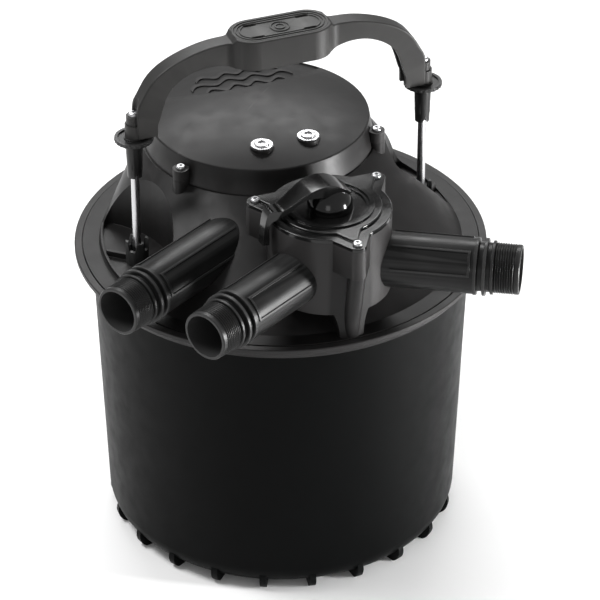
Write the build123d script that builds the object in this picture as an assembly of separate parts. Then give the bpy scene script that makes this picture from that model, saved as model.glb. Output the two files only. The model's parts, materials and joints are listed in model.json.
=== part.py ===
"""Pond pressure filter: a round tub under a clamped lid, with a push-down handle that squeezes the foams.

Millimetres, +Z up, origin at the centre of the underside, handle along X, ports towards -Y.
The lid, valve and handle are drawn from the rim plane (z = 0 at the rim's top edge) and raised by RIM_Z.
"""

import os
from math import cos, radians, sin, sqrt

from build123d import *

# Overall sizes
RIM_R = 200.0               # outer radius of the clamp ring
RIM_Z = 303.0               # floor to the top edge of the clamp ring
HANDLE_TRAVEL = 80.0        # how far the handle pushes down

# Gaps
SLIP = 0.3                  # between pieces that move past each other
RUN = 0.05                  # radial clearance of a running fit
SEAT = 0.2                  # between pieces that are laid in each other

# Rim: the tub's flange, the lid's flange and the clamp ring around both
RING_WALL = 8.6
RING_CLEAR = 1.0            # clamp ring to the tub's flange
FLANGE_R = RIM_R - RING_WALL - RING_CLEAR
FLANGE_THICK = 5.0
FLANGE_TOP = -6.0           # joint between tub and lid
LID_LIP_R = RIM_R - 4.0
LID_LIP_TOP = -2.9
BAND_OUT_R = RIM_R - 8.0    # flat band around the foot of the lid's cone
BAND_TOP = 0.8
GASKET_OUT_R = FLANGE_R - 2.4
GASKET_WIDTH = 4.0
GASKET_THICK = 2.5
RING_EDGE = 4.6             # height of the clamp ring's outer edge
RING_SKIRT = 12.5           # depth of the clamp ring
RING_GAP = 4.0              # half of the split at the back, in degrees
LATCH_SPREAD = 6.0          # angle of each latch lug from the back
LUG_OUT = 8.5               # how far the latch lugs stand out of the ring
LATCH_THICK = 4.0
LATCH_PIN_R = 2.0
LATCH_TALL = 9.0

# Tub
FLANGE_OVER = 7.0           # the flange stands this far out of the wall
DRAFT = 10.8                # the tub is this much narrower at its bottom, in radius
TUB_TOP_R = FLANGE_R - FLANGE_OVER
TUB_BOTTOM_R = TUB_TOP_R - DRAFT
TUB_WALL = 4.0
TUB_CORNER = 22.0           # rounding of the outer bottom corner
FOOT_COUNT = 22
FOOT_PHASE = 14.2           # angle of the first foot rib, in degrees
FOOT_R = 15.0               # radius of a foot rib's round outline
FOOT_THICK = 6.5
FOOT_HEIGHT = 5.0           # floor to the tub's underside
FOOT_INSET = 14.6           # the ribs' centre is this far inside the tub's bottom radius
HUB_R = 40.0

# Lamp cap, on the deck at the top of the lid's cone
CAP_R = 107.5               # at the ridge
CAP_FLARE = 4.5             # the skirt's foot is this much wider
CAP_FOOT_R = CAP_R + CAP_FLARE
CAP_DOME = 17.0             # height of the dome above the ridge
CAP_WALL = 3.2
CAP_SKIRT = 25.0

# Lid cone, from the band up to the deck
CONE_R = RIM_R - 24.0
DECK_R = CAP_FOOT_R + 2.0
DECK_Y = CONE_R - DECK_R - 2.0      # the deck's centre lies behind the tub's
DECK_Z = 80.0
LID_WALL = 4.0
CAP_RIDGE = DECK_Z + CAP_SKIRT
BOSS_ANGLES = (-30.0, 90.0, 210.0)
BOSS_RING_R = CAP_FOOT_R + 3.5
BOSS_R = 8.0
BOSS_SPLIT = DECK_Z + 6.0           # joint between the lid's boss and the cap's ear
BOSS_TOP = DECK_Z + 17.0
BOSS_DEPTH = 20.0                   # how far a boss runs down the cone
SCREW_R = 2.0                       # shank of the small screws
SCREW_HOLE_R = 2.3
SCREW_HEAD_R = 4.6
SCREW_HEAD_TALL = 3.2
CAP_SCREW_GRIP = 16.0               # depth of the cap screws in the lid
VALVE_SCREW_GRIP = 18.0
PANEL_Y = DECK_Y + 125.0            # the sunk rear panel is bounded by an oval about this point
PANEL_RX = CAP_R + 6.5
PANEL_RY = 100.0
PANEL_DEPTH = 1.3
FACE_SCREW_X = 23.5
FACE_SCREW_Y = DECK_Y - CAP_R + 34.5
FACE_SCREW_R = 10.5
FACE_SHANK_R = 3.0
GLAND_ANGLE = 58.0                  # direction of the cable gland in the cap's skirt
CABLE_R = 3.5
GLAND_THREAD_R = 6.0

# Rods, and the pockets around them
ROD_R = 4.0
POCKET_LIP_R = CONE_R - 4.0
POCKET_LIP_TOP = 7.0
POCKET_LIP_WALL = 2.5
POCKET_FLOOR = 4.0
POCKET_FRONT = {-1: -42.0, 1: -14.0}    # Y of the blunt front end of each pocket, by side
POCKET_TIP_R = 6.0          # rounding of a pocket's corners
POCKET_RIB = 3.0            # thickness of the ribs in the pockets
POCKET_RIBS = {-1: (139.0, -63.0), 1: (41.0,)}  # their directions from the rod, in degrees
POCKET_R = 98.5             # the pocket's inner wall is an arc about a point outside the tub
ROD_X = POCKET_LIP_R - 25.5
POCKET_X = ROD_X + 67.1
ROD_SEAL_R = ROD_R + 2.5
SLEEVE_TIP_R = ROD_R + 3.0
CUP_R = SLEEVE_TIP_R + 0.8
GLAND_R = CUP_R + 3.2
GLAND_SHANK_R = ROD_SEAL_R + 1.0
CUP_FLOOR = POCKET_FLOOR + 6.0
GLAND_TOP = CUP_FLOOR + 19.0

# Lamp
SLEEVE_GLASS_R = 14.0
SLEEVE_GLASS_WALL = 1.5
LAMP_HOLE_R = SLEEVE_GLASS_R + 0.3
SEAL_SEAT_R = LAMP_HOLE_R + 2.7
LAMP_SEAL_THICK = 4.0
NECK_R = SEAL_SEAT_R + 1.0
NECK_TOP = DECK_Z + 8.0
NUT_R = NECK_R + 8.0
GLASS_TOP = NECK_TOP + 6.0
LAMP_TUBE_R = 4.8

# Valve
VALVE_Y = 46.0 - CONE_R
VALVE_R = 58.0
CHAMBER_R = VALVE_R - 8.0
CHAMBER_FLOOR = 30.0
VALVE_TOP = 104.0
VALVE_SEAL_R = CHAMBER_R + 5.5
VALVE_SEAL_WIDTH = 3.5
VALVE_SEAL_THICK = 2.0
LUG_ANGLES = (-90.0, 30.0, 150.0)
LUG_RING_R = VALVE_R + 12.0
LUG_R = 8.5
LUG_BOTTOM = 74.0
PILLAR_FOOT_Y = VALVE_Y - 54.0     # centre of the pillar's round foot
PILLAR_FOOT_R = 8.0
ARCH_X = 45.0
ARCH_RX = 33.0
ARCH_RZ = 47.0
STEM_R = 10.0
STEM_TOP = VALVE_TOP + 20.0
STEM_SEAL_R = STEM_R + 3.0
STEM_SEAL_THICK = 2.6
COVER_PLATE = 4.0           # the cover's three tiers, from the lug plate up
COVER_TIER = 6.6
COVER_RING = 8.2
KNOB_R = 22.0
KNOB_TOP = VALVE_TOP + 30.0
KNOB_WELL_R = KNOB_R + 12.0
LEVER_ANGLE = 183.0         # direction of the lever when the filter runs
LEVER_REACH = VALVE_R + 12.0
LEVER_THICK = 6.5

# Ports
PORT_Z = 57.0
PORT_BORE = 20.5
PASSAGE_R = PORT_BORE + 1.0  # the rotor's passage, and the inner end of the valve's ports
PORT_REACH = 180.0          # valve axis to mouth
PORT_R = 26.3
THREAD_R = 23.9             # 47.8 mm over the crests
THREAD_ROOT = 1.0
THREAD_PITCH = 2.309
THREAD_TURNS = 8
MIDDLE_PORT = 210.0         # directions of the ports, in degrees
RIGHT_PORT = 330.0
LEFT_MOUTH = (-208.8, -128.8)
LEFT_Z = 40.0
LEFT_BORE = 102.0           # length of its bore; beyond it the passage is wider
LEFT_RUN = 165.0            # mouth to the passage's inner end under the cone
PANEL_OUT = 1.2             # the rails of the side panels stand this far out of a port
PANEL_RAIL = 4.5            # their width, in degrees
PANEL_SPAN = (28.0, 82.0)   # angles of a panel's lower and upper rail, from the port's top

# Lock sleeves: their tips end in the glands' cups when the handle is down
SLEEVE_DIP = 9.0            # how deep a tip goes into its cup
SLEEVE_LONG = 43.5
SLEEVE_BOTTOM = GLAND_TOP - SLEEVE_DIP + HANDLE_TRAVEL
SLEEVE_TOP_R = SLEEVE_TIP_R + 1.4
COLLAR_R = SLEEVE_TOP_R + 9.8
COLLAR_THICK = 3.5

# Handle
LEG_BOTTOM = SLEEVE_BOTTOM + SLEEVE_LONG
LEG_OUT_X = ROD_X - 1.0
LEG_DEPTH = 20.0
PAD_LENGTH = 101.0
PAD_WIDTH = 47.0
PAD_TOP = LEG_BOTTOM + 88.5
PAD_BOTTOM = PAD_TOP - 30.0
ARM_WIDTH = 18.0
HANDLE_WALL = 3.5
HANDLE_ROUND = 1.5
BOSS_LOW_R = ROD_R + 4.5
BOSS_LOW_TOP = LEG_BOTTOM + 13.5
BOSS_NECK_R = 7.0
BOSS_NECK_TOP = LEG_BOTTOM + 22.5
HANDLE_HEAD_R = 5.0
SCREW_WELL_R = HANDLE_HEAD_R + 0.4  # room for the handle screw's head beside the leg
INSERT_LENGTH = 94.0
INSERT_WIDTH = 41.0
INSERT_THICK = 2.5

# Inside the tub
INNER_R = TUB_BOTTOM_R - TUB_WALL
GRID_TOP = 38.0             # above the floor
GRID_THICK = 5.0
GRID_R = INNER_R - 8.6
FOAM_R = INNER_R - 4.6
FOAM_COUNT = 5
PLATE_TOP = -22.0
PLATE_THICK = 6.0
PLATE_R = INNER_R - 2.6
TUBE_R = 42.0
TUBE_WALL = 3.0
FOAM_HOLE_R = TUBE_R + 4.0
HOLE_R = 8.0                # perforations of the grid and the press plate
HOLE_PITCH = 26.0
HOLE_FIRST = TUBE_R + 24.0
ROD_FOOT = 3.0              # thickness of the rods' heads under the press plate
SLEEVE_GLASS_END = GRID_TOP + TUBE_WALL + 22.0 - RIM_Z

BASE = (Align.CENTER, Align.CENTER, Align.MIN)
SIDE = (Align.MIN, Align.CENTER, Align.MIN)
CORNER = (Align.MIN, Align.MIN, Align.MIN)


def post(radius, low, high, x=0.0, y=0.0):
    """Upright cylinder between two heights."""
    return Pos(x, y, low) * Cylinder(radius, high - low, align=BASE)


def tube(outer, inner, low, high, x=0.0, y=0.0):
    """Upright hollow cylinder between two heights."""
    return post(outer, low, high, x, y) - post(inner, low, high, x, y)


def turned(*points):
    """Solid turned about Z from a closed outline of (radius, height) points."""
    return revolve(Plane.XZ * make_face(Polyline(*points, close=True)), Axis.Z)


def slab(outline, low, high):
    """A flat outline raised from one height to another."""
    return extrude(Pos(0, 0, low) * outline, amount=high - low)


def around(angles, radius, piece, x=0.0, y=0.0):
    """Copies of a piece, set on a circle and turned to face outwards."""
    return [Pos(x, y, 0) * Rot(0, 0, a) * Pos(radius, 0, 0) * piece for a in angles]


def polar(angle, radius, x=0.0, y=0.0):
    return x + radius * cos(radians(angle)), y + radius * sin(radians(angle))


def ring_edges(shape, radius, height):
    """The circular edges of a shape at one radius and height."""
    near = 0.01
    return [
        e
        for e in shape.edges().filter_by(GeomType.CIRCLE)
        if abs(e.radius - radius) < near and abs(e.arc_center.Z - height) < near
    ]


def perforation(last, low, high):
    """Drills for a perforated plate: rings of holes out to a last radius."""
    drills = []
    radius = HOLE_FIRST
    while radius <= last:
        count = 6 * int(radius / (4 * HOLE_R))
        drills += around([360.0 * i / count for i in range(count)], radius, post(HOLE_R, low, high))
        radius += HOLE_PITCH
    return drills


def screw(head_r, head_tall, shank_r, shank_long):
    """Pan-head screw standing on z = 0, with a six-sided socket."""
    head = post(head_r, 0, head_tall)
    head = fillet(ring_edges(head, head_r, head_tall), head_tall * 0.6)
    head -= slab(RegularPolygon(head_r * 0.4, 6), head_tall * 0.45, head_tall)
    return head + post(shank_r, -shank_long, 0)


# ---------------------------------------------------------------- tub and what stands in it


def tub():
    flange_top = RIM_Z + FLANGE_TOP
    flange_low = flange_top - FLANGE_THICK
    inner_low = FOOT_HEIGHT + TUB_WALL
    inner_top_r = TUB_TOP_R - TUB_WALL
    inner_bottom_r = TUB_BOTTOM_R - TUB_WALL
    body = turned(
        (0, FOOT_HEIGHT),
        (TUB_BOTTOM_R, FOOT_HEIGHT),
        (TUB_TOP_R, flange_low),
        (FLANGE_R, flange_low),
        (FLANGE_R, flange_top),
        (0, flange_top),
    )
    body = fillet(ring_edges(body, TUB_BOTTOM_R, FOOT_HEIGHT), TUB_CORNER)
    cavity = turned((0, inner_low), (inner_bottom_r, inner_low), (inner_top_r, flange_top), (0, flange_top))
    cavity = fillet(ring_edges(cavity, inner_bottom_r, inner_low), TUB_CORNER - TUB_WALL)
    flat = 1.5
    rib = Pos(0, 0, FOOT_R - flat) * Rot(90, 0, 0) * Cylinder(FOOT_R, FOOT_THICK)
    rib &= post(FOOT_R + FOOT_THICK, 0, 2 * FOOT_R)
    angles = [FOOT_PHASE + 360.0 * i / FOOT_COUNT for i in range(FOOT_COUNT)]
    body += around(angles, TUB_BOTTOM_R - FOOT_INSET, rib)
    body += post(HUB_R, 0, FOOT_HEIGHT)
    return body - cavity - lid_gasket()


def lid_gasket():
    top = RIM_Z + FLANGE_TOP
    return tube(GASKET_OUT_R, GASKET_OUT_R - GASKET_WIDTH, top - GASKET_THICK, top)


def lower_grid():
    low = GRID_TOP - GRID_THICK
    plate = post(GRID_R, low, GRID_TOP)
    floor = FOOT_HEIGHT + TUB_WALL
    leg_ring = HOLE_FIRST + 1.5 * HOLE_PITCH
    plate += around([0, 60, 120, 180, 240, 300], leg_ring, post(HOLE_PITCH / 2 - HOLE_R, floor, low))
    return plate - perforation(GRID_R - 1.5 * HOLE_R, low, GRID_TOP)


def foam_discs():
    """Flat foam rings, stacked between the grid and the press plate."""
    foam_top = RIM_Z + PLATE_TOP - PLATE_THICK - ROD_FOOT - 1.0
    pitch = (foam_top - GRID_TOP - SLIP) / FOAM_COUNT
    discs = {}
    for i in range(FOAM_COUNT):
        low = GRID_TOP + SLIP + i * pitch
        discs[f"foam_disc_{i + 1}"] = tube(FOAM_R, FOAM_HOLE_R, low, low + pitch - SLIP)
    return discs


def centre_tube():
    """Slotted tube in the middle of the foams, around the lamp's glass sleeve."""
    top = RIM_Z - 12.0
    body = tube(TUBE_R, TUBE_R - TUBE_WALL, GRID_TOP, top)
    body += tube(TUBE_R, LAMP_HOLE_R + 4.0, GRID_TOP, GRID_TOP + TUBE_WALL)
    slot_tall, pitch, margin = 24.0, 36.0, 20.0
    slot = Box(2 * TUBE_R + 2, 6.0, slot_tall, align=BASE)
    slots = []
    for row in range(int((top - GRID_TOP - 2 * margin) / pitch)):
        for turn in range(4):
            angle = 45.0 * turn + 22.5 * (row % 2)
            slots.append(Rot(0, 0, angle) * Pos(0, 0, GRID_TOP + margin + row * pitch) * slot)
    return body - slots


# ---------------------------------------------------------------- lid


def lid_outside():
    """The lid's outside without its pockets, as one filled solid."""
    cone = loft([Pos(0, 0, BAND_TOP) * Circle(CONE_R), Pos(0, DECK_Y, DECK_Z) * Circle(DECK_R)], ruled=True)
    return cone + post(BAND_OUT_R, FLANGE_TOP, BAND_TOP) + post(LID_LIP_R, FLANGE_TOP, LID_LIP_TOP)


def lid_inside():
    """The hollow under the lid."""
    low, high = FLANGE_TOP, DECK_Z - LID_WALL
    return loft(
        [Pos(0, 0.5, low) * Circle(CONE_R - LID_WALL), Pos(0, DECK_Y, high) * Circle(DECK_R - LID_WALL)],
        ruled=True,
    )


def pocket_area(side, grow=0.0):
    """Plan of the pocket around one rod: a lens between the rim and an arc, blunt at its front end."""
    lens = Pos(side * POCKET_X, 0, 0) * Circle(POCKET_R)
    lens &= Circle(POCKET_LIP_R)
    lens &= Pos(side * CONE_R, POCKET_FRONT[side] + CONE_R, 0) * Rectangle(2 * CONE_R, 2 * CONE_R)
    lens = fillet(lens.vertices(), POCKET_TIP_R)
    return offset(lens, grow) if grow else lens


def pocket_rib(angle):
    """Thin rib from a rod's gland to the pocket's wall."""
    reach = POCKET_R
    return Rot(0, 0, angle) * Pos(0, 0, POCKET_FLOOR - 1) * Box(reach, POCKET_RIB, POCKET_LIP_TOP, align=SIDE)


def valve_plan():
    """Outline of the valve's top: a round body with three screw lugs."""
    outline = Circle(VALVE_R)
    for angle in LUG_ANGLES:
        x, y = polar(angle, LUG_RING_R)
        outline += make_hull((Circle(0.75 * VALVE_R) + Pos(x, y) * Circle(LUG_R)).edges())
    return outline


def valve_prow():
    """Front wall of the valve body: it runs down to the rim as a pillar between two arches."""
    foot = Pos(0, PILLAR_FOOT_Y) * Circle(PILLAR_FOOT_R)
    body = Pos(0, VALVE_Y) * Circle(VALVE_R - SEAT)
    wedge = slab(make_hull((body + foot).edges()), BAND_TOP, LUG_BOTTOM + 2.0)
    for x in (-ARCH_X, ARCH_X):
        arch = Plane.XZ * (Pos(x, BAND_TOP) * Ellipse(ARCH_RX, ARCH_RZ))
        wedge -= extrude(Pos(0, VALVE_Y, 0) * arch, amount=VALVE_R + LUG_RING_R)
    return wedge + pillar()


def pillar():
    """Round pillar that leans from the front lug down to the rim."""
    return loft(
        [
            Pos(0, PILLAR_FOOT_Y, BAND_TOP) * Circle(PILLAR_FOOT_R),
            Pos(0, VALVE_Y - LUG_RING_R, LUG_BOTTOM + 3.0) * Circle(LUG_R - SEAT),
        ],
        ruled=True,
    )


def port_place(x, y, z, direction):
    """Frame at a port's mouth, or on its axis, with Z along the port and out of it."""
    return Pos(x, y, z) * Rot(0, 0, direction) * Rot(0, 90, 0)


def port_hole(angle):
    """Room for a port that enters the valve body."""
    return port_place(0, VALVE_Y, PORT_Z, angle) * Cylinder(PORT_R, VALVE_R + 10, align=BASE)


def left_place():
    return port_place(*LEFT_MOUTH, LEFT_Z, MIDDLE_PORT)


def left_tunnel():
    """Passage of the left port: its bore, then a wider stretch through the lid's cone."""
    return left_place() * (post(PORT_BORE, -LEFT_BORE, 0) + post(PASSAGE_R, -LEFT_RUN, -LEFT_BORE))


def lid_shell():
    outside = lid_outside()
    shell = outside - lid_inside()
    # wells around the rods, valve body and bosses
    for side in (-1, 1):
        shell += slab(pocket_area(side, LID_WALL), POCKET_FLOOR - LID_WALL, DECK_Z) & outside
    shell += slab(Pos(0, VALVE_Y) * Circle(VALVE_R), CHAMBER_FLOOR - LID_WALL, VALVE_TOP)
    shell += slab(Pos(0, VALVE_Y) * valve_plan(), LUG_BOTTOM, VALVE_TOP)
    shell += valve_prow()
    for angle in BOSS_ANGLES:
        x, y = polar(angle, BOSS_RING_R, 0, DECK_Y)
        shell += post(BOSS_R, DECK_Z - BOSS_DEPTH, BOSS_SPLIT, x, y) - lid_inside() - cap_solid(-SEAT)
    shell += post(NECK_R, DECK_Z - LID_WALL, NECK_TOP)
    # pockets, with a raised lip left along the rim
    for side in (-1, 1):
        lip = tube(POCKET_LIP_R + POCKET_LIP_WALL, POCKET_LIP_R, BAND_TOP - 1, POCKET_LIP_TOP)
        shell += lip & slab(pocket_area(side, POCKET_LIP_WALL + SEAT), BAND_TOP - 1, POCKET_LIP_TOP)
        shell -= slab(pocket_area(side), POCKET_FLOOR, DECK_Z)
        ribs = [Pos(side * ROD_X, 0, 0) * pocket_rib(a) for a in POCKET_RIBS[side]]
        shell += [rib & slab(pocket_area(side, SEAT), POCKET_FLOOR - 1, DECK_Z) for rib in ribs]
        shell -= post(GLAND_R + SEAT, POCKET_FLOOR, DECK_Z, side * ROD_X)
        shell -= post(GLAND_SHANK_R, -LID_WALL, POCKET_FLOOR, side * ROD_X)
    # valve chamber, its outlet down into the tub and the ports
    shell -= post(CHAMBER_R, CHAMBER_FLOOR, VALVE_TOP, 0, VALVE_Y)
    shell -= post(PORT_BORE, 0, CHAMBER_FLOOR, 0, VALVE_Y)
    shell -= valve_cover_seal()
    shell -= port_hole(MIDDLE_PORT)
    shell -= port_hole(RIGHT_PORT)
    shell -= left_tunnel()
    # lamp hole with its seal seat, and screw holes
    shell -= post(LAMP_HOLE_R, DECK_Z - LID_WALL, NECK_TOP)
    shell -= post(SEAL_SEAT_R, NECK_TOP - LAMP_SEAL_THICK, NECK_TOP)
    for angle in BOSS_ANGLES:
        shell -= post(SCREW_R, BOSS_SPLIT - CAP_SCREW_GRIP, BOSS_SPLIT, *polar(angle, BOSS_RING_R, 0, DECK_Y))
    for angle in LUG_ANGLES:
        shell -= post(SCREW_R, VALVE_TOP - VALVE_SCREW_GRIP, VALVE_TOP, *polar(angle, LUG_RING_R, 0, VALVE_Y))
    return shell


def clamp_ring():
    """Split band that holds the lid's lip, with a lug on each side of the split at the back."""
    inner = FLANGE_R + RING_CLEAR
    lip_gap = LID_LIP_R + SEAT
    chamfer = 0.8
    band = BAND_OUT_R + 0.8
    ring = turned(
        (band, 0),
        (RIM_R - chamfer, 0),
        (RIM_R, -chamfer),
        (RIM_R, -RING_EDGE),
        (inner + 2.1, -RING_SKIRT),
        (inner, -RING_SKIRT),
        (inner, FLANGE_TOP - SEAT),
        (lip_gap, FLANGE_TOP - SEAT),
        (lip_gap, LID_LIP_TOP + SEAT),
        (band, LID_LIP_TOP + SEAT),
    )
    root, width = 3.0, 8.0
    lug = Pos(RIM_R - root, 0, -LATCH_TALL) * Box(LUG_OUT + root, width, LATCH_TALL - 1, align=SIDE)
    ring += [Rot(0, 0, 90 + a) * lug for a in (-LATCH_SPREAD, LATCH_SPREAD)]
    split = 2 * RIM_R * sin(radians(RING_GAP))
    ring -= Pos(0, RIM_R, -RING_SKIRT) * Box(split, 24, RING_SKIRT + 1, align=BASE)
    return ring - post(LATCH_PIN_R, -LATCH_TALL, 0, *latch_pivot())


def latch_pivot():
    return polar(90 + LATCH_SPREAD, RIM_R + LUG_OUT - 3.5)


def latch_pin():
    x, y = latch_pivot()
    return post(LATCH_PIN_R, -LATCH_TALL - 1.8, 1.0, x, y) + post(LATCH_PIN_R + 1.2, 1.0, 2.0, x, y)


def latch_lever():
    """Lever across the split: a fork around the pin's lug and a hook over the far lug."""
    x, y = latch_pivot()
    reach = -x + 6.0
    bar_y = (RIM_R + LUG_OUT) * cos(radians(LATCH_SPREAD - 1.5)) + 1.8
    low, high = -LATCH_TALL - 1.5, 0.8
    lever = Pos(x - 3.8, bar_y, low) * Box(reach - x + 7.0, LATCH_THICK, high - low, align=CORNER)
    hook = Pos(reach, y + 0.5, low) * Box(3.2, bar_y - y, high - low, align=CORNER)
    cheek_r = 3.8
    cheek = post(cheek_r, low, high, x, y)
    cheek += Pos(x - cheek_r, y, low) * Box(2 * cheek_r, bar_y - y + 1, high - low, align=CORNER)
    cheek -= Pos(x, y, -LATCH_TALL - SLIP) * Box(12.0, 2 * (bar_y - y), LATCH_TALL - 1 + 2 * SLIP, align=BASE)
    lever = fillet((lever + hook + cheek).edges().filter_by(Axis.Z).sort_by(Axis.X)[-2:], 1.0)
    return lever - post(LATCH_PIN_R + RUN, low, high, x, y)


# ---------------------------------------------------------------- lamp cap


def dome_height(radius):
    """Height of the cap's outside at a distance from its own centre."""
    ball = (CAP_R**2 + CAP_DOME**2) / (2 * CAP_DOME)
    return CAP_RIDGE + CAP_DOME - ball + sqrt(ball**2 - radius**2)


def cap_solid(inset=0.0):
    """The cap's outside, or its inside when inset by the wall."""
    top = CAP_RIDGE + CAP_DOME - inset
    wall_r = CAP_R - inset
    edge = dome_height(wall_r) - inset
    mid = wall_r / 2
    outline = Polyline((0, top), (0, DECK_Z), (CAP_FOOT_R - inset, DECK_Z), (wall_r, edge))
    outline += ThreePointArc((wall_r, edge), (mid, dome_height(mid) - inset), (0, top))
    return Pos(0, DECK_Y, 0) * revolve(Plane.XZ * make_face(outline), Axis.Z)


def wave_band(y, length):
    """Plan of one wavy bar of the motif on the rear panel."""
    crest, width = 4.0, 6.0
    step = length / 8
    points = [(-length / 2 + i * step, y + (crest if i % 2 else -crest)) for i in range(9)]
    upper = Spline(*[(px, py + width / 2) for px, py in points])
    lower = Spline(*[(px, py - width / 2) for px, py in points])
    ends = Line(upper @ 0, lower @ 0) + Line(upper @ 1, lower @ 1)
    return make_face(upper + lower + ends)


def lamp_cap():
    cap = fillet(ring_edges(cap_solid(), CAP_R, CAP_RIDGE), CAP_WALL / 2)
    # sunk rear panel with a plain wave motif
    panel = Pos(0, PANEL_Y) * Ellipse(PANEL_RX, PANEL_RY) & Pos(0, DECK_Y) * Circle(CAP_R - 3.0)
    panel -= [wave_band(DECK_Y + y, length) for y, length in ((34.0, 84.0), (50.0, 104.0), (66.0, 84.0))]
    sunk = slab(panel, CAP_RIDGE - CAP_WALL, CAP_RIDGE + CAP_DOME)
    cap = (cap - sunk) + (Pos(0, 0, -PANEL_DEPTH) * cap_solid() & sunk)
    for angle in BOSS_ANGLES:
        x, y = polar(angle, BOSS_RING_R, 0, DECK_Y)
        cap += post(BOSS_R, BOSS_SPLIT + SEAT, BOSS_TOP, x, y)
    cap -= cap_solid(CAP_WALL)
    # flat seats for the two face screws
    for x in (-FACE_SCREW_X, FACE_SCREW_X):
        top = dome_height(sqrt(x**2 + (FACE_SCREW_Y - DECK_Y) ** 2)) + 1.0
        cap += post(FACE_SCREW_R + 1, top - 2 * CAP_WALL, top, x, FACE_SCREW_Y)
        cap -= post(FACE_SCREW_R + SEAT, top, top + CAP_DOME, x, FACE_SCREW_Y)
        cap -= post(FACE_SHANK_R, top - 3 * CAP_WALL, top, x, FACE_SCREW_Y)
    for angle in BOSS_ANGLES:
        cap -= post(SCREW_HOLE_R, BOSS_SPLIT, BOSS_TOP, *polar(angle, BOSS_RING_R, 0, DECK_Y))
    return cap - gland_place() * Cylinder(GLAND_THREAD_R, 5 * GLAND_THREAD_R)


def gland_place():
    """Where the cable gland goes through the cap's skirt."""
    middle = (DECK_Z + CAP_RIDGE) / 2 - 0.5
    return Pos(0, DECK_Y, middle) * Rot(0, 0, GLAND_ANGLE) * Pos(CAP_R, 0, 0) * Rot(0, 90, 0)


def cable_gland():
    start, nut, cone, end = -8.0, 5.0, 11.0, 20.0
    body = post(GLAND_THREAD_R, start, cone)
    body += slab(RegularPolygon(GLAND_THREAD_R + 3.5, 6), nut, cone)
    body += Pos(0, 0, cone) * Cone(GLAND_THREAD_R + 2.5, CABLE_R + 3.0, end - cone, align=BASE)
    body += post(GLAND_THREAD_R + 2.5, start, start + 3.0)
    return gland_place() * (body - post(CABLE_R, start, end))


def cap_gasket():
    outer = CAP_FOOT_R - CAP_WALL - SEAT - SLIP
    return tube(outer, outer - GASKET_WIDTH, DECK_Z, DECK_Z + GASKET_THICK, 0, DECK_Y)


def cap_screws():
    piece = screw(SCREW_HEAD_R, SCREW_HEAD_TALL, SCREW_R, BOSS_TOP - BOSS_SPLIT + CAP_SCREW_GRIP - 2.0)
    return [Pos(*polar(a, BOSS_RING_R, 0, DECK_Y), BOSS_TOP) * piece for a in BOSS_ANGLES]


def face_screws():
    """Two broad socket screws on the front of the dome."""
    washer, head_r, head = 1.2, 7.2, 3.0
    piece = post(FACE_SCREW_R, 0, washer)
    piece += fillet(ring_edges(post(head_r, 0, head), head_r, head), 1.0)
    piece -= slab(RegularPolygon(4.2, 6), washer + SEAT, head)
    piece += post(FACE_SHANK_R, -3 * CAP_WALL, 0)
    tops = []
    for x in (-FACE_SCREW_X, FACE_SCREW_X):
        top = dome_height(sqrt(x**2 + (FACE_SCREW_Y - DECK_Y) ** 2)) + 1.0
        tops.append(Pos(x, FACE_SCREW_Y, top) * piece)
    return tops


def ballast_box():
    length, width, tall = 90.0, 46.0, 17.0
    box = Pos(0, DECK_Y + 45, DECK_Z) * Box(length, width, tall, align=BASE)
    return fillet(box.edges().filter_by(Axis.Z), LID_WALL)


# ---------------------------------------------------------------- lamp


def quartz_sleeve():
    inner = SLEEVE_GLASS_R - SLEEVE_GLASS_WALL
    low, high = SLEEVE_GLASS_END + SLEEVE_GLASS_R, GLASS_TOP
    body = post(SLEEVE_GLASS_R, low, high) + Pos(0, 0, low) * Sphere(SLEEVE_GLASS_R)
    return body - post(inner, low, high) - Pos(0, 0, low) * Sphere(inner)


def sleeve_seal():
    return tube(SEAL_SEAT_R, SLEEVE_GLASS_R, NECK_TOP - LAMP_SEAL_THICK, NECK_TOP)


def sleeve_nut():
    low, high = NECK_TOP - 6.0, NECK_TOP + 4.0
    nut = slab(RegularPolygon(NUT_R, 6), low, high)
    return nut - post(NECK_R, low, NECK_TOP) - post(SLEEVE_GLASS_R + SEAT, NECK_TOP, high)


def uv_lamp():
    """Twin-tube lamp: two straight tubes with a bridge at the end, on a plastic foot."""
    x = LAMP_TUBE_R + 0.8
    low = SLEEVE_GLASS_END + 30.0
    foot = GLASS_TOP - 34.0
    lamp = post(LAMP_TUBE_R, low, foot, x) + post(LAMP_TUBE_R, low, foot, -x)
    lamp += Pos(0, 0, low + LAMP_TUBE_R) * Rot(0, 90, 0) * Cylinder(LAMP_TUBE_R - 1.5, 2 * x)
    return lamp + post(SLEEVE_GLASS_R - SLEEVE_GLASS_WALL - SLIP - SEAT, foot, GLASS_TOP)


def lamp_socket():
    body_top = CAP_RIDGE - 7.0
    return post(SLEEVE_GLASS_R, GLASS_TOP, body_top) + post(0.6 * SLEEVE_GLASS_R, body_top, body_top + 3.0)


# ---------------------------------------------------------------- valve


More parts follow.
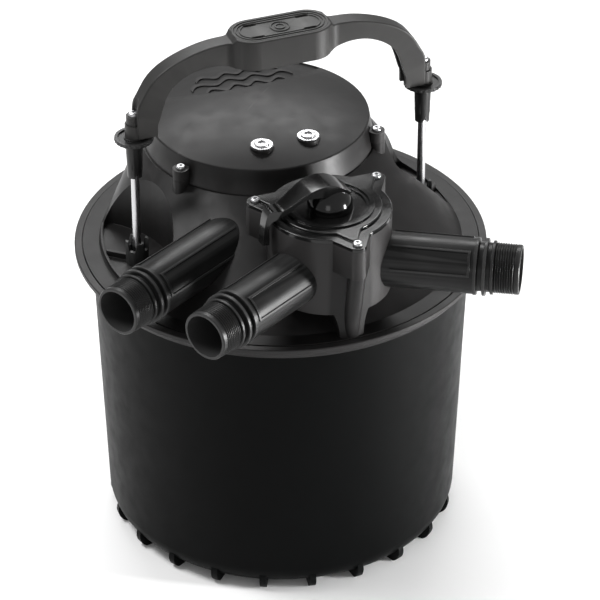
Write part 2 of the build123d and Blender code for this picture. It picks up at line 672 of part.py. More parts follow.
def valve_cover():
    """Three stepped tiers on the lug plate, with a round well for the knob."""
    plan = valve_plan()
    plate_top, ring_top = VALVE_TOP + COVER_PLATE, VALVE_TOP + COVER_RING
    cover = slab(plan, VALVE_TOP, plate_top)
    cover = fillet(cover.faces().sort_by(Axis.Z)[-1].edges(), 1.0)
    step = 9.0
    tier = slab(offset(plan, -step), plate_top, VALVE_TOP + COVER_TIER)
    cover += fillet(tier.faces().sort_by(Axis.Z)[-1].edges(), 1.2)
    cover += tube(KNOB_WELL_R + 8.0, KNOB_WELL_R + 3.5, plate_top, ring_top)
    cover -= post(KNOB_WELL_R, plate_top + 1.0, ring_top)
    cover -= post(STEM_R, VALVE_TOP, ring_top)
    cover -= post(STEM_SEAL_R, VALVE_TOP, VALVE_TOP + STEM_SEAL_THICK)
    for angle in LUG_ANGLES:
        x, y = polar(angle, LUG_RING_R)
        cover -= post(SCREW_HOLE_R, VALVE_TOP, plate_top, x, y)
        cover -= post(SCREW_HEAD_R + 0.8, plate_top, ring_top, x, y)
    return Pos(0, VALVE_Y, 0) * cover


def valve_cover_seal():
    low = VALVE_TOP - VALVE_SEAL_THICK
    return tube(VALVE_SEAL_R, VALVE_SEAL_R - VALVE_SEAL_WIDTH, low, VALVE_TOP, 0, VALVE_Y)


def valve_screws():
    piece = screw(SCREW_HEAD_R, SCREW_HEAD_TALL, SCREW_R, COVER_PLATE + VALVE_SCREW_GRIP - 2.0)
    return [Pos(*polar(a, LUG_RING_R, 0, VALVE_Y), VALVE_TOP + COVER_PLATE) * piece for a in LUG_ANGLES]


def stem_seal():
    return tube(STEM_SEAL_R, STEM_R, VALVE_TOP, VALVE_TOP + STEM_SEAL_THICK, 0, VALVE_Y)


def valve_rotor():
    """Drum with a passage from its side down through its bottom, on the knob's stem."""
    drum_top = VALVE_TOP - 8.0
    drum = post(CHAMBER_R - SLIP, CHAMBER_FLOOR + SLIP, drum_top)
    drum -= post(PASSAGE_R, CHAMBER_FLOOR, PORT_Z)
    passage = Pos(0, 0, PORT_Z) * Rot(0, 0, MIDDLE_PORT) * Rot(0, 90, 0)
    drum -= passage * Cylinder(PASSAGE_R, CHAMBER_R, align=BASE)
    drum -= Pos(0, 0, PORT_Z) * Sphere(PASSAGE_R)
    drum += post(STEM_R - RUN, drum_top, STEM_TOP)
    return Pos(0, VALVE_Y, 0) * drum


def valve_knob():
    """Domed knob with an arched lever that curls down past the edge of the cover."""
    low = VALVE_TOP + COVER_PLATE + 1.0 + SLIP
    ball = Pos(0, 0, low) * scale(Sphere(KNOB_R), by=(1, 1, (KNOB_TOP - low) / KNOB_R))
    knob = ball & post(KNOB_R + 1, low, KNOB_TOP + 1)
    top, tip = KNOB_TOP + 3.5, PORT_Z + PORT_R + 3.0
    outer = Spline(
        (18.0, KNOB_TOP - 9.0),
        (0.0, top),
        (-26.0, top - 2.0),
        (17.0 - LEVER_REACH, top - 17.0),
        (-LEVER_REACH, tip),
        tangents=[(-1, 0.9), (-0.08, -1)],
    )
    tip_in = LEVER_THICK - 0.4 - LEVER_REACH
    inner = Spline(
        (tip_in, tip),
        (tip_in + 3.4, VALVE_TOP + 6.0),
        (21.0 - LEVER_REACH, top - 22.0),
        (-26.0, top - 2.0 - LEVER_THICK),
        (0.0, KNOB_TOP - 8.0),
        (12.0, KNOB_TOP - 14.0),
        tangents=[(0.08, 1), (1, -0.6)],
    )
    outline = outer + Line(outer @ 1, inner @ 0) + inner + Line(inner @ 1, outer @ 0)
    blade = extrude(Plane.XZ * make_face(outline), amount=14.0, both=True)
    end = -LEVER_REACH - 1
    edge = Spline((20.0, 9.0), (-5.0, 13.0), (-40.0, 10.5), (end, 5.0))
    ends = Line((end, 5.0), (end, -5.0)) + Line((20.0, -9.0), (20.0, 9.0))
    taper = make_face(edge + mirror(edge, about=Plane.XZ) + ends)
    knob += blade & slab(taper, tip - 1, top + 5)
    knob -= post(STEM_R, low, STEM_TOP)
    return Pos(0, VALVE_Y, 0) * Rot(0, 0, LEVER_ANGLE - 180.0) * knob


# ---------------------------------------------------------------- ports


def port_outline(start):
    """Turned outline of a port from its inner end to its mouth, measured back from the mouth."""
    points = [(PORT_BORE, start), (PORT_R, start), (PORT_R, -43.0)]
    points += [(PORT_R + 0.8, -43.0), (PORT_R + 0.8, -40.0)]
    neck = THREAD_R - 0.7
    points += [(neck, -39.0), (neck, -35.0), (PORT_R + 0.9, -34.4), (PORT_R + 0.9, -31.6), (neck, -31.0)]
    points += [(neck, -27.6), (THREAD_R + 1.5, -27.0), (THREAD_R + 1.5, -24.6)]
    points += [(THREAD_R - THREAD_ROOT, -24.2)]
    first = -23.8
    for i in range(THREAD_TURNS):
        low = first + i * THREAD_PITCH
        points += [(THREAD_R, low + 0.45 * THREAD_PITCH), (THREAD_R, low + 0.6 * THREAD_PITCH)]
        points += [(THREAD_R - THREAD_ROOT, low + THREAD_PITCH)]
    points += [(THREAD_R - 0.4, -4.6), (THREAD_R - 0.4, -0.8), (THREAD_R - 1.2, 0), (PORT_BORE, 0)]
    return turned(*points)


def port_rails(start):
    """Raised outline of a long panel on each side of a port (the port's own X points down)."""
    end = -46.0
    sheet = tube(PORT_R + PANEL_OUT, PORT_R - PANEL_OUT, start, end)
    low, high = PANEL_SPAN
    full = sector(low, high, start, end)
    frame = sheet & (full - sector(low + PANEL_RAIL, high - PANEL_RAIL, start - 1, end - 2 * PANEL_OUT))
    return [frame, mirror(frame, about=Plane.XZ)]


def sector(first, last, low, high):
    """Wedge about Z between two angles, measured from -X towards +Y."""
    reach = 2 * PORT_R
    points = [(0, 0)] + [polar(180.0 - a, reach) for a in (first, (first + last) / 2, last)]
    return slab(make_face(Polyline(*points, close=True)), low, high)


def port(start, rail_start, place):
    """A port with its mouth at a place and its axis along that place's Z."""
    return place * (port_outline(start) + port_rails(rail_start))


def valve_port(direction):
    mouth = polar(direction, PORT_REACH, 0, VALVE_Y)
    place = port_place(*mouth, PORT_Z, direction)
    body = port(CHAMBER_R - PORT_REACH - 6.0, VALVE_R - PORT_REACH + 2.0, place)
    body -= place * Pos(0, 0, -PORT_REACH) * Cylinder(PASSAGE_R, CHAMBER_R + 2.0, align=BASE)
    return body - post(CHAMBER_R, 0, VALVE_TOP, 0, VALVE_Y)


def left_port():
    """The port beside the valve: it runs straight into the lid's cone."""
    return port(-LEFT_RUN, 12.0 - LEFT_RUN, left_place()) - left_tunnel() - lid_outside()


# ---------------------------------------------------------------- rods and handle


def rod_glands():
    """Castellated sockets in the pockets: they guide the rods and catch the sleeves."""
    shank_low = -1.0
    gland = post(GLAND_R, POCKET_FLOOR, GLAND_TOP) + post(GLAND_SHANK_R, shank_low, POCKET_FLOOR)
    gland -= post(CUP_R, CUP_FLOOR, GLAND_TOP)
    low = GLAND_TOP - 9.0
    notch = make_face(Polyline((-3.0, low), (3.0, low), (5.5, GLAND_TOP), (-5.5, GLAND_TOP), close=True))
    notch = extrude(Plane.XZ * notch, amount=GLAND_R + 1, both=True)
    gland -= [Rot(0, 0, a) * notch for a in (45, 135)]
    gland -= post(ROD_R + RUN, shank_low, GLAND_TOP)
    return [Pos(side * ROD_X, 0, 0) * (gland - rod_seal()) for side in (-1, 1)]


def rod_seal():
    return tube(ROD_SEAL_R, ROD_R + RUN, POCKET_FLOOR - 2.0, POCKET_FLOOR + 0.6)


def rod_seals():
    return [Pos(side * ROD_X, 0, 0) * rod_seal() for side in (-1, 1)]


def push_rods():
    plate_low = PLATE_TOP - PLATE_THICK
    low = plate_low - ROD_FOOT
    rod = post(ROD_R, low, BOSS_LOW_TOP) + post(ROD_R + 3.0, low, plate_low)
    return [Pos(side * ROD_X, 0, 0) * rod for side in (-1, 1)]


def plate_nuts():
    high = PLATE_TOP + 6.5
    nut = slab(RegularPolygon(ROD_R + 3.5, 6), PLATE_TOP, high) - post(ROD_R, PLATE_TOP, high)
    return [Pos(side * ROD_X, 0, 0) * nut for side in (-1, 1)]


def press_plate():
    """Perforated plate on the rods that squeezes the foams."""
    low = PLATE_TOP - PLATE_THICK
    plate = post(PLATE_R, low, PLATE_TOP)
    plate += tube(PLATE_R, PLATE_R - 4, PLATE_TOP, PLATE_TOP + 6)
    plate -= post(TUBE_R + 2.5, low, PLATE_TOP)
    plate -= perforation(ROD_X - 3 * HOLE_R, low, PLATE_TOP)
    for side in (-1, 1):
        plate -= post(ROD_R, low, PLATE_TOP, side * ROD_X)
    return plate


def lock_sleeve(side):
    """Ribbed taper on the rod with a toothed collar; its tip locks into the gland."""
    high = LEG_BOTTOM - SLIP
    collar_low = high - COLLAR_THICK
    ribs_low = SLEEVE_BOTTOM + 10.0
    body = Pos(0, 0, SLEEVE_BOTTOM) * Cone(SLEEVE_TIP_R, SLEEVE_TOP_R, collar_low - SLEEVE_BOTTOM, align=BASE)
    rib = Pos(SLEEVE_TIP_R - 1.0, 0, ribs_low) * Box(3.4, 2.0, collar_low - ribs_low, align=BASE)
    body += [Rot(0, 0, 45 + 90 * i) * rib for i in range(4)]
    body += post(COLLAR_R, collar_low, high) - tube(COLLAR_R - 3.0, SLEEVE_TOP_R + 1.0, high - 1.6, high)
    teeth = 24
    tooth = Pos(COLLAR_R - 0.4, 0, collar_low) * Box(1.6, 1.8, COLLAR_THICK - 0.8, align=BASE)
    body += [Rot(0, 0, 360.0 * i / teeth) * tooth for i in range(teeth)]
    corners = ((-2.5, SLEEVE_BOTTOM), (2.5, SLEEVE_BOTTOM), (0, SLEEVE_BOTTOM + 5))
    notch = make_face(Polyline(*corners, close=True))
    body -= extrude(Plane.XZ * notch, amount=SLEEVE_TOP_R, both=True)
    return Pos(side * ROD_X, 0, 0) * (body - post(ROD_R + RUN, SLEEVE_BOTTOM, high))


def along_arm(share):
    """X of a point on an arm, as a share of the way from the pad's end to the leg's outside."""
    return PAD_LENGTH / 2 + share * (LEG_OUT_X - PAD_LENGTH / 2)


def handle_top(drop=0.0):
    """Top line of one arm from the pad to the foot of the leg, or the same line a wall inside."""
    return Spline(
        (PAD_LENGTH / 2, PAD_TOP - 4.0 - drop),
        (along_arm(0.226), PAD_TOP - 5.0 - drop),
        (along_arm(0.437) - 0.2 * drop, PAD_TOP - 9.5 - drop),
        (along_arm(0.668) - 0.5 * drop, PAD_TOP - 18.5 - 0.9 * drop),
        (along_arm(0.853) - 0.7 * drop, PAD_TOP - 33.0 - 0.7 * drop),
        (along_arm(0.953) - 0.9 * drop, PAD_TOP - 49.0 - 0.3 * drop),
        (LEG_OUT_X - drop, PAD_TOP - 67.0),
        tangents=[(1, 0), (0, -1)],
    )


def handle_under():
    """Underside line of one arm from the pad to the leg."""
    leg_in = LEG_OUT_X - LEG_DEPTH
    return Spline(
        (PAD_LENGTH / 2 - 2.0, PAD_BOTTOM),
        (along_arm(0.163), PAD_BOTTOM + 5.0),
        (along_arm(0.311), PAD_BOTTOM + 5.0),
        (along_arm(0.479), PAD_BOTTOM),
        (along_arm(0.616), PAD_BOTTOM - 9.0),
        (leg_in - 7.0, PAD_BOTTOM - 25.0),
        (leg_in - 1.5, PAD_BOTTOM - 43.0),
        (leg_in, LEG_BOTTOM),
        tangents=[(1, 0.4), (0, -1)],
    )


def handle_side():
    """Side view of the right half of the handle."""
    top, under = handle_top(), handle_under()
    outline = Polyline((0, PAD_BOTTOM), (0, PAD_TOP), (PAD_LENGTH / 2 - 4.0, PAD_TOP), top @ 0)
    outline += top
    outline += Polyline(top @ 1, (LEG_OUT_X, LEG_BOTTOM), under @ 1)
    outline += under
    outline += Line(under @ 0, (0, PAD_BOTTOM))
    return make_face(outline)


def handle_hollow_side():
    """Side view of the hollow under the right half, open below."""
    top = handle_top(HANDLE_WALL)
    inner_x = LEG_OUT_X - HANDLE_WALL
    ceiling, low = PAD_TOP - 8.0 - HANDLE_WALL, PAD_BOTTOM - 1
    between = LEG_OUT_X - 2 * LEG_DEPTH
    outline = Polyline((0, low), (0, ceiling), (PAD_LENGTH / 2, ceiling), top @ 0)
    outline += top
    outline += Polyline(top @ 1, (inner_x, LEG_BOTTOM), (between, LEG_BOTTOM), (between, low), (0, low))
    return make_face(outline)


def handle_plan(inset=0.0):
    """Plan of the handle: a long oval pad between two narrow arms."""
    oval = SlotOverall(PAD_LENGTH - 2 * inset, PAD_WIDTH - 2 * inset)
    arms = Rectangle(2 * (LEG_OUT_X - inset), ARM_WIDTH - 2 * inset)
    plan = oval + arms
    corners = [v for v in plan.vertices() if abs(v.X) < PAD_LENGTH / 2 and abs(v.Y) < ARM_WIDTH]
    return fillet(corners, 14.0 + inset)


def both_sides(half):
    return half + mirror(half, about=Plane.YZ)


def handle_bar():
    half = extrude(Plane.XZ * handle_side(), amount=PAD_WIDTH / 2, both=True)
    bar = both_sides(half) & slab(handle_plan(), LEG_BOTTOM, PAD_TOP)
    bar = fillet(handle_outer_edges(bar), HANDLE_ROUND)
    hollow = both_sides(extrude(Plane.XZ * handle_hollow_side(), amount=PAD_WIDTH / 2, both=True))
    hollow &= slab(handle_plan(HANDLE_WALL), LEG_BOTTOM, PAD_TOP)
    for side in (-1, 1):
        hollow -= post(SCREW_WELL_R + HANDLE_WALL / 2, LEG_BOTTOM, PAD_TOP, side * ROD_X)
    bar -= hollow
    for side in (-1, 1):
        bar -= post(SCREW_WELL_R, BOSS_NECK_TOP, PAD_TOP, side * ROD_X)
        bar += post(BOSS_LOW_R, LEG_BOTTOM, BOSS_LOW_TOP, side * ROD_X)
        bar += post(BOSS_NECK_R, BOSS_LOW_TOP, BOSS_NECK_TOP, side * ROD_X)
        bar -= post(ROD_R, LEG_BOTTOM, BOSS_LOW_TOP, side * ROD_X)
        bar -= post(SCREW_R, BOSS_LOW_TOP, BOSS_NECK_TOP, side * ROD_X)
    return bar - slab(SlotOverall(INSERT_LENGTH, INSERT_WIDTH), PAD_TOP - INSERT_THICK, PAD_TOP)


def handle_outer_edges(bar):
    """The long edges along the top of the pad and arms."""
    top_faces = [f for f in bar.faces() if f.normal_at().Z > 0.2]
    edges = []
    for face in top_faces:
        edges += [e for e in face.edges() if abs(e.center().Y) > 2.0]
    return edges


def handle_screws():
    piece = screw(HANDLE_HEAD_R, 3.6, SCREW_R, BOSS_NECK_TOP - BOSS_LOW_TOP - 1.0)
    return [Pos(side * ROD_X, 0, BOSS_NECK_TOP) * piece for side in (-1, 1)]


def foot_pad():
    """Ribbed insert on the pad: oval ribs, two rings in the middle and four slots."""
    low = PAD_TOP - INSERT_THICK
    length, width = INSERT_LENGTH - 2 * SEAT, INSERT_WIDTH - 2 * SEAT
    floor = PAD_TOP - 0.8
    pad = slab(SlotOverall(length, width), low, floor)
    rib = 1.2
    for inset in (0.0, 3.4, 6.8):
        outer = SlotOverall(length - 2 * inset, width - 2 * inset)
        pad += slab(outer - offset(outer, -rib), floor, PAD_TOP + 0.2)
    for radius in (5.0, 9.5):
        pad += tube(radius, radius - rib, floor, PAD_TOP + 0.2)
    for x in (-26.0, 26.0):
        for y in (-12.0, 12.0):
            pad -= slab(Pos(x, y) * SlotOverall(14.0, 4.4), low, PAD_TOP + 1)
    return pad


# ---------------------------------------------------------------- all pieces

FROM_FLOOR = {"tub": tub, "lid_gasket": lid_gasket, "lower_grid": lower_grid, "centre_tube": centre_tube}

FROM_RIM = {
    "lid_shell": lid_shell,
    "clamp_ring": clamp_ring,
    "latch_pin": latch_pin,
    "latch_lever": latch_lever,
    "lamp_cap": lamp_cap,
    "cap_gasket": cap_gasket,
    "cap_screws": cap_screws,
    "face_screws": face_screws,
    "cable_gland": cable_gland,
    "ballast_box": ballast_box,
    "quartz_sleeve": quartz_sleeve,
    "sleeve_seal": sleeve_seal,
    "sleeve_nut": sleeve_nut,
    "uv_lamp": uv_lamp,
    "lamp_socket": lamp_socket,
    "valve_cover": valve_cover,
    "valve_cover_seal": valve_cover_seal,
    "valve_screws": valve_screws,
    "stem_seal": stem_seal,
    "valve_rotor": valve_rotor,
    "valve_knob": valve_knob,
    "left_port": left_port,
    "middle_port": lambda: valve_port(MIDDLE_PORT),
    "right_port": lambda: valve_port(RIGHT_PORT),
    "rod_glands": rod_glands,
    "rod_seals": rod_seals,
    "push_rods": push_rods,
    "plate_nuts": plate_nuts,
    "press_plate": press_plate,
    "left_lock_sleeve": lambda: lock_sleeve(-1),
    "right_lock_sleeve": lambda: lock_sleeve(1),
    "handle_bar": handle_bar,
    "handle_screws": handle_screws,
    "foot_pad": foot_pad,
}


def write(name, shape):
    """One STEP file per piece; a group of loose copies goes in one file."""
    solids = shape if isinstance(shape, list) else [shape]
    loose = [s for piece in solids for s in piece.solids()]
    export_step(loose[0] if len(loose) == 1 else Compound(children=loose), f"parts/{name}.step")


os.makedirs("parts", exist_ok=True)
for name, make in FROM_FLOOR.items():
    write(name, make())
for name, solid in foam_discs().items():
    write(name, solid)
for name, make in FROM_RIM.items():
    made = make()
    pieces = made if isinstance(made, list) else [made]
    write(name, [Pos(0, 0, RIM_Z) * piece for piece in pieces])
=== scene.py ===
"""Looks of the pond filter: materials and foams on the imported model, with camera, floor and light. Metres."""

import json
import math
import random

import bmesh
import bpy
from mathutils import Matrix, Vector, noise


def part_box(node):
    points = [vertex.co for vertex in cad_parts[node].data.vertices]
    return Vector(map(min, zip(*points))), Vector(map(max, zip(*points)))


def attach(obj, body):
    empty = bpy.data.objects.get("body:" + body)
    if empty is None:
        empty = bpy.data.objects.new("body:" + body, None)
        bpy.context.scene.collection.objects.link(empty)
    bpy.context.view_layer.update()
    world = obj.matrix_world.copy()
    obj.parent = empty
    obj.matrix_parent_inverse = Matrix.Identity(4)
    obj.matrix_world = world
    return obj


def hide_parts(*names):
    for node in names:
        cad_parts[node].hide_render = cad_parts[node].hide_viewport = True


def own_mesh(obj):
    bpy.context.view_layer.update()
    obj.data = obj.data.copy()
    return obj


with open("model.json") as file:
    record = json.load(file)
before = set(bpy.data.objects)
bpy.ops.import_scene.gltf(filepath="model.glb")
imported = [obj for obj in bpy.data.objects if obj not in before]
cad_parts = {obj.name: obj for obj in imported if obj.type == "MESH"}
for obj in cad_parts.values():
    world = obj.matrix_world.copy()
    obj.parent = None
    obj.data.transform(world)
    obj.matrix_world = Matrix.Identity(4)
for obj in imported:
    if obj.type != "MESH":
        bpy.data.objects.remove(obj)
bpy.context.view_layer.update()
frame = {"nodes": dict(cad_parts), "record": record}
nodes = frame["nodes"]

MM = 0.001
FOAMS = [f"foam_disc_{i}" for i in range(1, 6)]
FOAM_HOLE_R = 46.4 * MM          # radius of the hole in the foams
FOAM_SLACK = 0.4 * MM            # the foams stay this far inside their CAD solids

# Light and camera
LENS = 216.0                     # focal length on a sensor 36 wide, in millimetres
SENSOR = 36.0
CAMERA_PLACE = (-1.0368, -2.7684, 2.1699)
CAMERA_AIM = (0.2981, 0.7808, -0.5490)
SKY = 0.45                       # strength of the even light from all round
MIDDLE = (0, 0, 0.3)             # the upper and front lamps point at the middle of the filter
FLOOR_SIZE = 30

# Finish of the plastics
EDGE_ROUND = 0.7 * MM            # sharp edges are shaded as if rounded by this radius
SHADE_SCALE, GLOSS_SCALE, WAVE_SCALE = 38.0, 55.0, 26.0     # of the slow changes, in cycles per metre
COAT_ROUGH = 0.12
EDGE_HIGHLIGHT_WEAR_LOW, EDGE_HIGHLIGHT_WEAR_HIGH = 0.515, 0.60                           # pointiness where the painted edge highlight and edge wear start and end


# ---------------------------------------------------------------- camera, floor and light


def add_camera():
    data = bpy.data.cameras.new("camera")
    data.lens = LENS
    data.sensor_width = SENSOR
    camera = bpy.data.objects.new("camera", data)
    bpy.context.scene.collection.objects.link(camera)
    camera.location = CAMERA_PLACE
    camera.rotation_euler = Vector(CAMERA_AIM).to_track_quat("-Z", "Y").to_euler()
    bpy.context.scene.camera = camera


def add_area(name, place, target, size, power, spread=180.0):
    """A rectangular lamp at a place, turned to its target; spread is the beam's angle in degrees."""
    data = bpy.data.lights.new(name, "AREA")
    data.shape = "RECTANGLE"
    data.size, data.size_y = size
    data.energy = power
    data.spread = math.radians(spread)
    light = bpy.data.objects.new(name, data)
    bpy.context.scene.collection.objects.link(light)
    light.location = place
    light.rotation_euler = (Vector(target) - Vector(place)).to_track_quat("-Z", "Y").to_euler()


def add_lights():
    add_area("key_right", (1.02, -0.80, 0.22), (0, 0, 0.15), (0.12, 0.44), 8, 90)
    add_area("top_left", (-1.3, 0.5, 2.4), MIDDLE, (0.9, 0.9), 48)
    add_area("top_back", (0.6, 1.9, 2.3), MIDDLE, (2.2, 0.8), 48)
    add_area("front_low", (-1.4, -2.6, 0.9), MIDDLE, (1.0, 1.0), 5)
    world = bpy.data.worlds.new("world")
    bpy.context.scene.world = world
    world.use_nodes = True
    sky = world.node_tree.nodes["Background"]
    sky.inputs["Color"].default_value = (1, 1, 1, 1)
    sky.inputs["Strength"].default_value = SKY
    bpy.context.scene.view_settings.view_transform = "Standard"


def add_floor():
    bpy.ops.mesh.primitive_plane_add(size=FLOOR_SIZE, location=(0, 0, 0))
    floor = bpy.context.object
    floor.name = "floor"
    mat, _, shader = new_material("floor_paper")
    shader.inputs["Base Color"].default_value = (0.95, 0.95, 0.95, 1)
    shader.inputs["Roughness"].default_value = 0.9
    floor.data.materials.append(mat)


# ---------------------------------------------------------------- materials


def new_material(name):
    mat = bpy.data.materials.new(name)
    mat.use_nodes = True
    tree = mat.node_tree
    return mat, tree, tree.nodes["Principled BSDF"]


def link(tree, source, target):
    tree.links.new(source, target)


def noise_node(tree, scale, detail=3.0, stretch=(1, 1, 1)):
    """Noise over the object's own space, in cycles per metre."""
    coords = tree.nodes.new("ShaderNodeTexCoord")
    mapping = tree.nodes.new("ShaderNodeMapping")
    mapping.inputs["Scale"].default_value = stretch
    link(tree, coords.outputs["Object"], mapping.inputs["Vector"])
    node = tree.nodes.new("ShaderNodeTexNoise")
    node.inputs["Scale"].default_value = scale
    node.inputs["Detail"].default_value = detail
    link(tree, mapping.outputs["Vector"], node.inputs["Vector"])
    return node.outputs["Fac"]


def spread(tree, source, low, high, from_low=0.3, from_high=0.7):
    """Maps a noise value to a range."""
    node = tree.nodes.new("ShaderNodeMapRange")
    node.inputs["From Min"].default_value = from_low
    node.inputs["From Max"].default_value = from_high
    node.inputs["To Min"].default_value = low
    node.inputs["To Max"].default_value = high
    link(tree, source, node.inputs["Value"])
    return node.outputs["Result"]


def ramp(tree, source, dark, light, low=0.3, high=0.7):
    node = tree.nodes.new("ShaderNodeValToRGB")
    first, last = node.color_ramp.elements
    first.position, last.position = low, high
    first.color, last.color = (*dark, 1), (*light, 1)
    link(tree, source, node.inputs["Fac"])
    return node.outputs["Color"]


def bump(tree, source, height, strength=1.0, normal=None):
    """Bump of a real height, in metres."""
    node = tree.nodes.new("ShaderNodeBump")
    node.inputs["Strength"].default_value = strength
    node.inputs["Distance"].default_value = height
    link(tree, source, node.inputs["Height"])
    if normal is not None:
        link(tree, normal, node.inputs["Normal"])
    return node.outputs["Normal"]


def wear_and_edge_highlight(tree):
    """Mask of the painted highlight and wear on edges: 1 on sharp outer edges, 0 elsewhere."""
    geometry = tree.nodes.new("ShaderNodeNewGeometry")
    return spread(tree, geometry.outputs["Pointiness"], 0.0, 1.0, EDGE_HIGHLIGHT_WEAR_LOW, EDGE_HIGHLIGHT_WEAR_HIGH)


def soft_normal(tree, radius):
    """Shading normal that rounds sharp edges by a small radius, in metres."""
    node = tree.nodes.new("ShaderNodeBevel")
    node.samples = 4
    node.inputs["Radius"].default_value = radius
    return node.outputs["Normal"]


def moulded(name, colour, rough, grain, depth, vary, waviness=0.0, coat=0.0, specular=0.5, edge=0.8):
    """Moulded plastic: fine grain, faint shade and gloss changes, and slow waves from the mould.

    grain is in cycles per metre; depth and waviness are heights in millimetres. vary is the change of shade
    and edge the extra lightness painted on sharp edges as a highlight together with wear, both as shares of the
    colour.
    """
    mat, tree, shader = new_material(name)
    dark = tuple(c * (1 - vary) for c in colour)
    light = tuple(c * (1 + vary) for c in colour)
    shade = ramp(tree, noise_node(tree, SHADE_SCALE, 5.0), dark, light)
    # painted highlight and wear: sharp outer edges get a lighter base colour, by edge as a share of the colour
    wear_and_highlight = tree.nodes.new("ShaderNodeMix")
    wear_and_highlight.data_type = "RGBA"
    link(tree, wear_and_edge_highlight(tree), wear_and_highlight.inputs["Factor"])
    link(tree, shade, wear_and_highlight.inputs["A"])
    wear_and_highlight.inputs["B"].default_value = (*(min(1.0, c * (1 + edge) + 0.004) for c in colour), 1)
    link(tree, wear_and_highlight.outputs["Result"], shader.inputs["Base Color"])
    gloss = noise_node(tree, GLOSS_SCALE, 6.0)
    link(tree, spread(tree, gloss, rough - 0.05, rough + 0.06), shader.inputs["Roughness"])
    normal = bump(tree, noise_node(tree, grain, 2.0), depth * MM, 1.0, soft_normal(tree, EDGE_ROUND))
    if waviness:
        normal = bump(tree, noise_node(tree, WAVE_SCALE, 1.0), waviness * MM, 1.0, normal)
    link(tree, normal, shader.inputs["Normal"])
    shader.inputs["Coat Weight"].default_value = coat
    shader.inputs["Coat Roughness"].default_value = COAT_ROUGH
    shader.inputs["Specular IOR Level"].default_value = specular
    return mat


def drawn_steel(name, colour, rough, stretch):
    """Steel with fine lines along one direction."""
    mat, tree, shader = new_material(name)
    lines = noise_node(tree, 900.0, 4.0, stretch)
    link(tree, ramp(tree, lines, tuple(c * 0.78 for c in colour), colour), shader.inputs["Base Color"])
    link(tree, spread(tree, lines, rough - 0.08, rough + 0.12), shader.inputs["Roughness"])
    link(tree, bump(tree, lines, 0.01 * MM), shader.inputs["Normal"])
    shader.inputs["Metallic"].default_value = 1.0
    return mat


def clear_glass(name):
    mat, tree, shader = new_material(name)
    shader.inputs["Base Color"].default_value = (0.95, 0.98, 1.0, 1)
    shader.inputs["Transmission Weight"].default_value = 1.0
    shader.inputs["IOR"].default_value = 1.46
    link(tree, spread(tree, noise_node(tree, 60.0, 4.0), 0.0, 0.06), shader.inputs["Roughness"])
    return mat


def foam_material(name):
    """Open-cell foam: blue struts, with painted shade darkening the pores between them."""
    mat, tree, shader = new_material(name)
    cells = tree.nodes.new("ShaderNodeTexVoronoi")
    cells.inputs["Scale"].default_value = 420.0
    coords = tree.nodes.new("ShaderNodeTexCoord")
    link(tree, coords.outputs["Object"], cells.inputs["Vector"])
    # painted shade: the deep parts of the cells, the pores, are ramped to near black
    colour = ramp(tree, cells.outputs["Distance"], (0.09, 0.24, 0.46), (0.008, 0.03, 0.07), 0.15, 0.55)
    link(tree, colour, shader.inputs["Base Color"])
    link(tree, spread(tree, noise_node(tree, 120.0), 0.85, 1.0), shader.inputs["Roughness"])
    link(tree, bump(tree, cells.outputs["Distance"], -1.2 * MM), shader.inputs["Normal"])
    return mat


def make_materials():
    """One material for each material slot of the record."""
    # edge sets how much lighter sharp edges are painted, as a highlight together with wear
    return {
        "tub_black": moulded(
            "tub_plastic", (0.0007, 0.0009, 0.0009), 0.42, grain=1500.0, depth=0.006, vary=0.2,
            waviness=0.05, specular=0.06,
        ),
        "lid_black": moulded(
            "lid_plastic", (0.0095, 0.009, 0.009), 0.4, grain=2400.0, depth=0.02, vary=0.2,
            waviness=0.04, specular=0.22, edge=1.6,
        ),
        "cover_black": moulded(
            "cover_plastic", (0.0045, 0.0045, 0.0045), 0.15, grain=1800.0, depth=0.004, vary=0.2,
            waviness=0.06, coat=0.2, specular=0.3,
        ),
        "knob_black": moulded(
            "knob_plastic", (0.0035, 0.0035, 0.0035), 0.12, grain=1800.0, depth=0.003, vary=0.2,
            waviness=0.05, coat=0.3, specular=0.3,
        ),
        "port_black": moulded(
            "port_plastic", (0.006, 0.006, 0.006), 0.34, grain=2600.0, depth=0.012, vary=0.25,
            waviness=0.03, specular=0.22, edge=4.0,
        ),
        "handle_black": moulded(
            "handle_plastic", (0.018, 0.0175, 0.017), 0.44, grain=2000.0, depth=0.03, vary=0.22,
            waviness=0.03, specular=0.28,
        ),
        "lock_black": moulded(
            "lock_plastic", (0.008, 0.008, 0.008), 0.3, grain=2600.0, depth=0.012, vary=0.25,
            specular=0.34, edge=2.0,
        ),
        "grip_black": moulded(
            "grip_plastic", (0.034, 0.034, 0.033), 0.54, grain=2200.0, depth=0.035, vary=0.25,
            specular=0.36,
        ),
        "inner_grey": moulded(
            "inner_plastic", (0.2, 0.21, 0.22), 0.45, grain=2400.0, depth=0.02, vary=0.12,
        ),
        "lamp_white": moulded(
            "lamp_white_glass", (0.84, 0.86, 0.88), 0.22, grain=900.0, depth=0.004, vary=0.04,
            edge=0.05,
        ),
        "seal_rubber": moulded(
            "seal_rubber_soft", (0.018, 0.018, 0.018), 0.62, grain=3000.0, depth=0.03, vary=0.3,
        ),
        "steel": drawn_steel("rod_steel", (0.66, 0.66, 0.67), 0.24, (1, 1, 0.03)),
        "screw_steel": drawn_steel("screw_head_steel", (0.58, 0.58, 0.59), 0.3, (1, 1, 1)),
        "glass": clear_glass("quartz"),
        "blue_foam": foam_material("filter_foam"),
    }


def dress(obj, mat):
    obj.data.materials.clear()
    obj.data.materials.append(mat)


def dress_nodes(materials):
    slot_of = {s["node"]: s["material_slot"] for s in frame["record"]["subparts"]}
    for name, obj in nodes.items():
        dress(obj, materials[slot_of[name]])


# ---------------------------------------------------------------- pieces


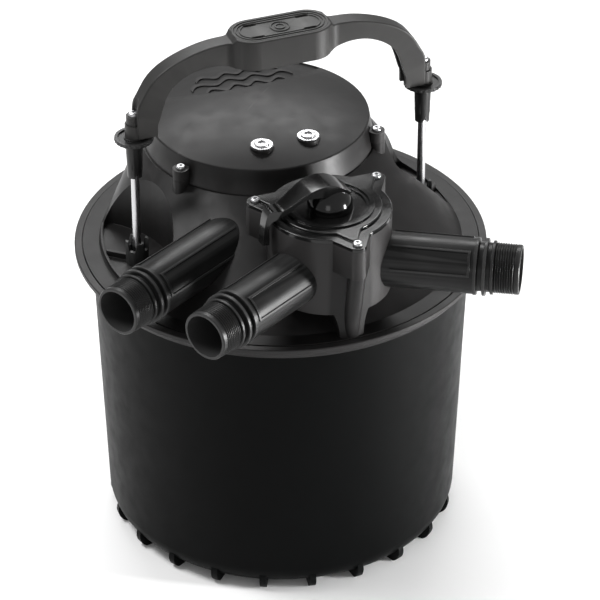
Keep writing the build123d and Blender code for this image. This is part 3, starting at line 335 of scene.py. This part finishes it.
def foam_ring(name, low, high, outer, inner, seed):
    """A foam ring with crowned sides and slightly uneven faces."""
    rng = random.Random(seed)
    shift = Vector((rng.uniform(0, 50), rng.uniform(0, 50), rng.uniform(0, 50)))
    turns, rows, shells = 120, 8, 10
    edge_round, unevenness, waves_per_metre = 2.2 * MM, 0.5 * MM, 60
    bm = bmesh.new()
    grid = []
    section = []
    for i in range(rows + 1):
        section.append((outer, i / rows))
    for i in range(1, shells):
        section.append((outer + (inner - outer) * i / shells, 1.0))
    for i in range(rows + 1):
        section.append((inner, 1.0 - i / rows))
    for i in range(1, shells):
        section.append((inner + (outer - inner) * i / shells, 0.0))
    tall = high - low
    for k in range(turns):
        angle = 2 * math.pi * k / turns
        ring = []
        for radius, t in section:
            crown = 1 - (2 * t - 1) ** 2
            edge = edge_round * (1 - crown)
            side = -edge if radius == outer else (edge if radius == inner else 0.0)
            r = radius + side
            z = low + tall * t
            place = Vector((r * math.cos(angle), r * math.sin(angle), z))
            rough = noise.noise(place * waves_per_metre + shift) * unevenness
            inward = 0.5 - t
            place.z += inward * 2 * abs(rough)
            place.x -= rough * math.cos(angle) * (1 if radius == outer else -1) * 0.5
            place.y -= rough * math.sin(angle) * (1 if radius == outer else -1) * 0.5
            ring.append(bm.verts.new(place))
        grid.append(ring)
    count = len(section)
    for k in range(turns):
        for i in range(count):
            a, b = grid[k], grid[(k + 1) % turns]
            bm.faces.new((a[i], b[i], b[(i + 1) % count], a[(i + 1) % count]))
    bmesh.ops.recalc_face_normals(bm, faces=bm.faces)
    mesh = bpy.data.meshes.new(name)
    bm.to_mesh(mesh)
    bm.free()
    for polygon in mesh.polygons:
        polygon.use_smooth = True
    piece = bpy.data.objects.new(name, mesh)
    bpy.context.scene.collection.objects.link(piece)
    return piece


def add_foams(materials):
    for i, node in enumerate(FOAMS):
        low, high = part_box(node)
        outer = high.x - FOAM_SLACK
        piece = foam_ring(f"foam_{i + 1}", low.z, high.z, outer, FOAM_HOLE_R, i)
        dress(piece, materials["blue_foam"])
        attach(piece, "canister")
        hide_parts(node)
        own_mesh(piece)


# ---------------------------------------------------------------- make it all

add_camera()
add_lights()
add_floor()
finishes = make_materials()
dress_nodes(finishes)
add_foams(finishes)
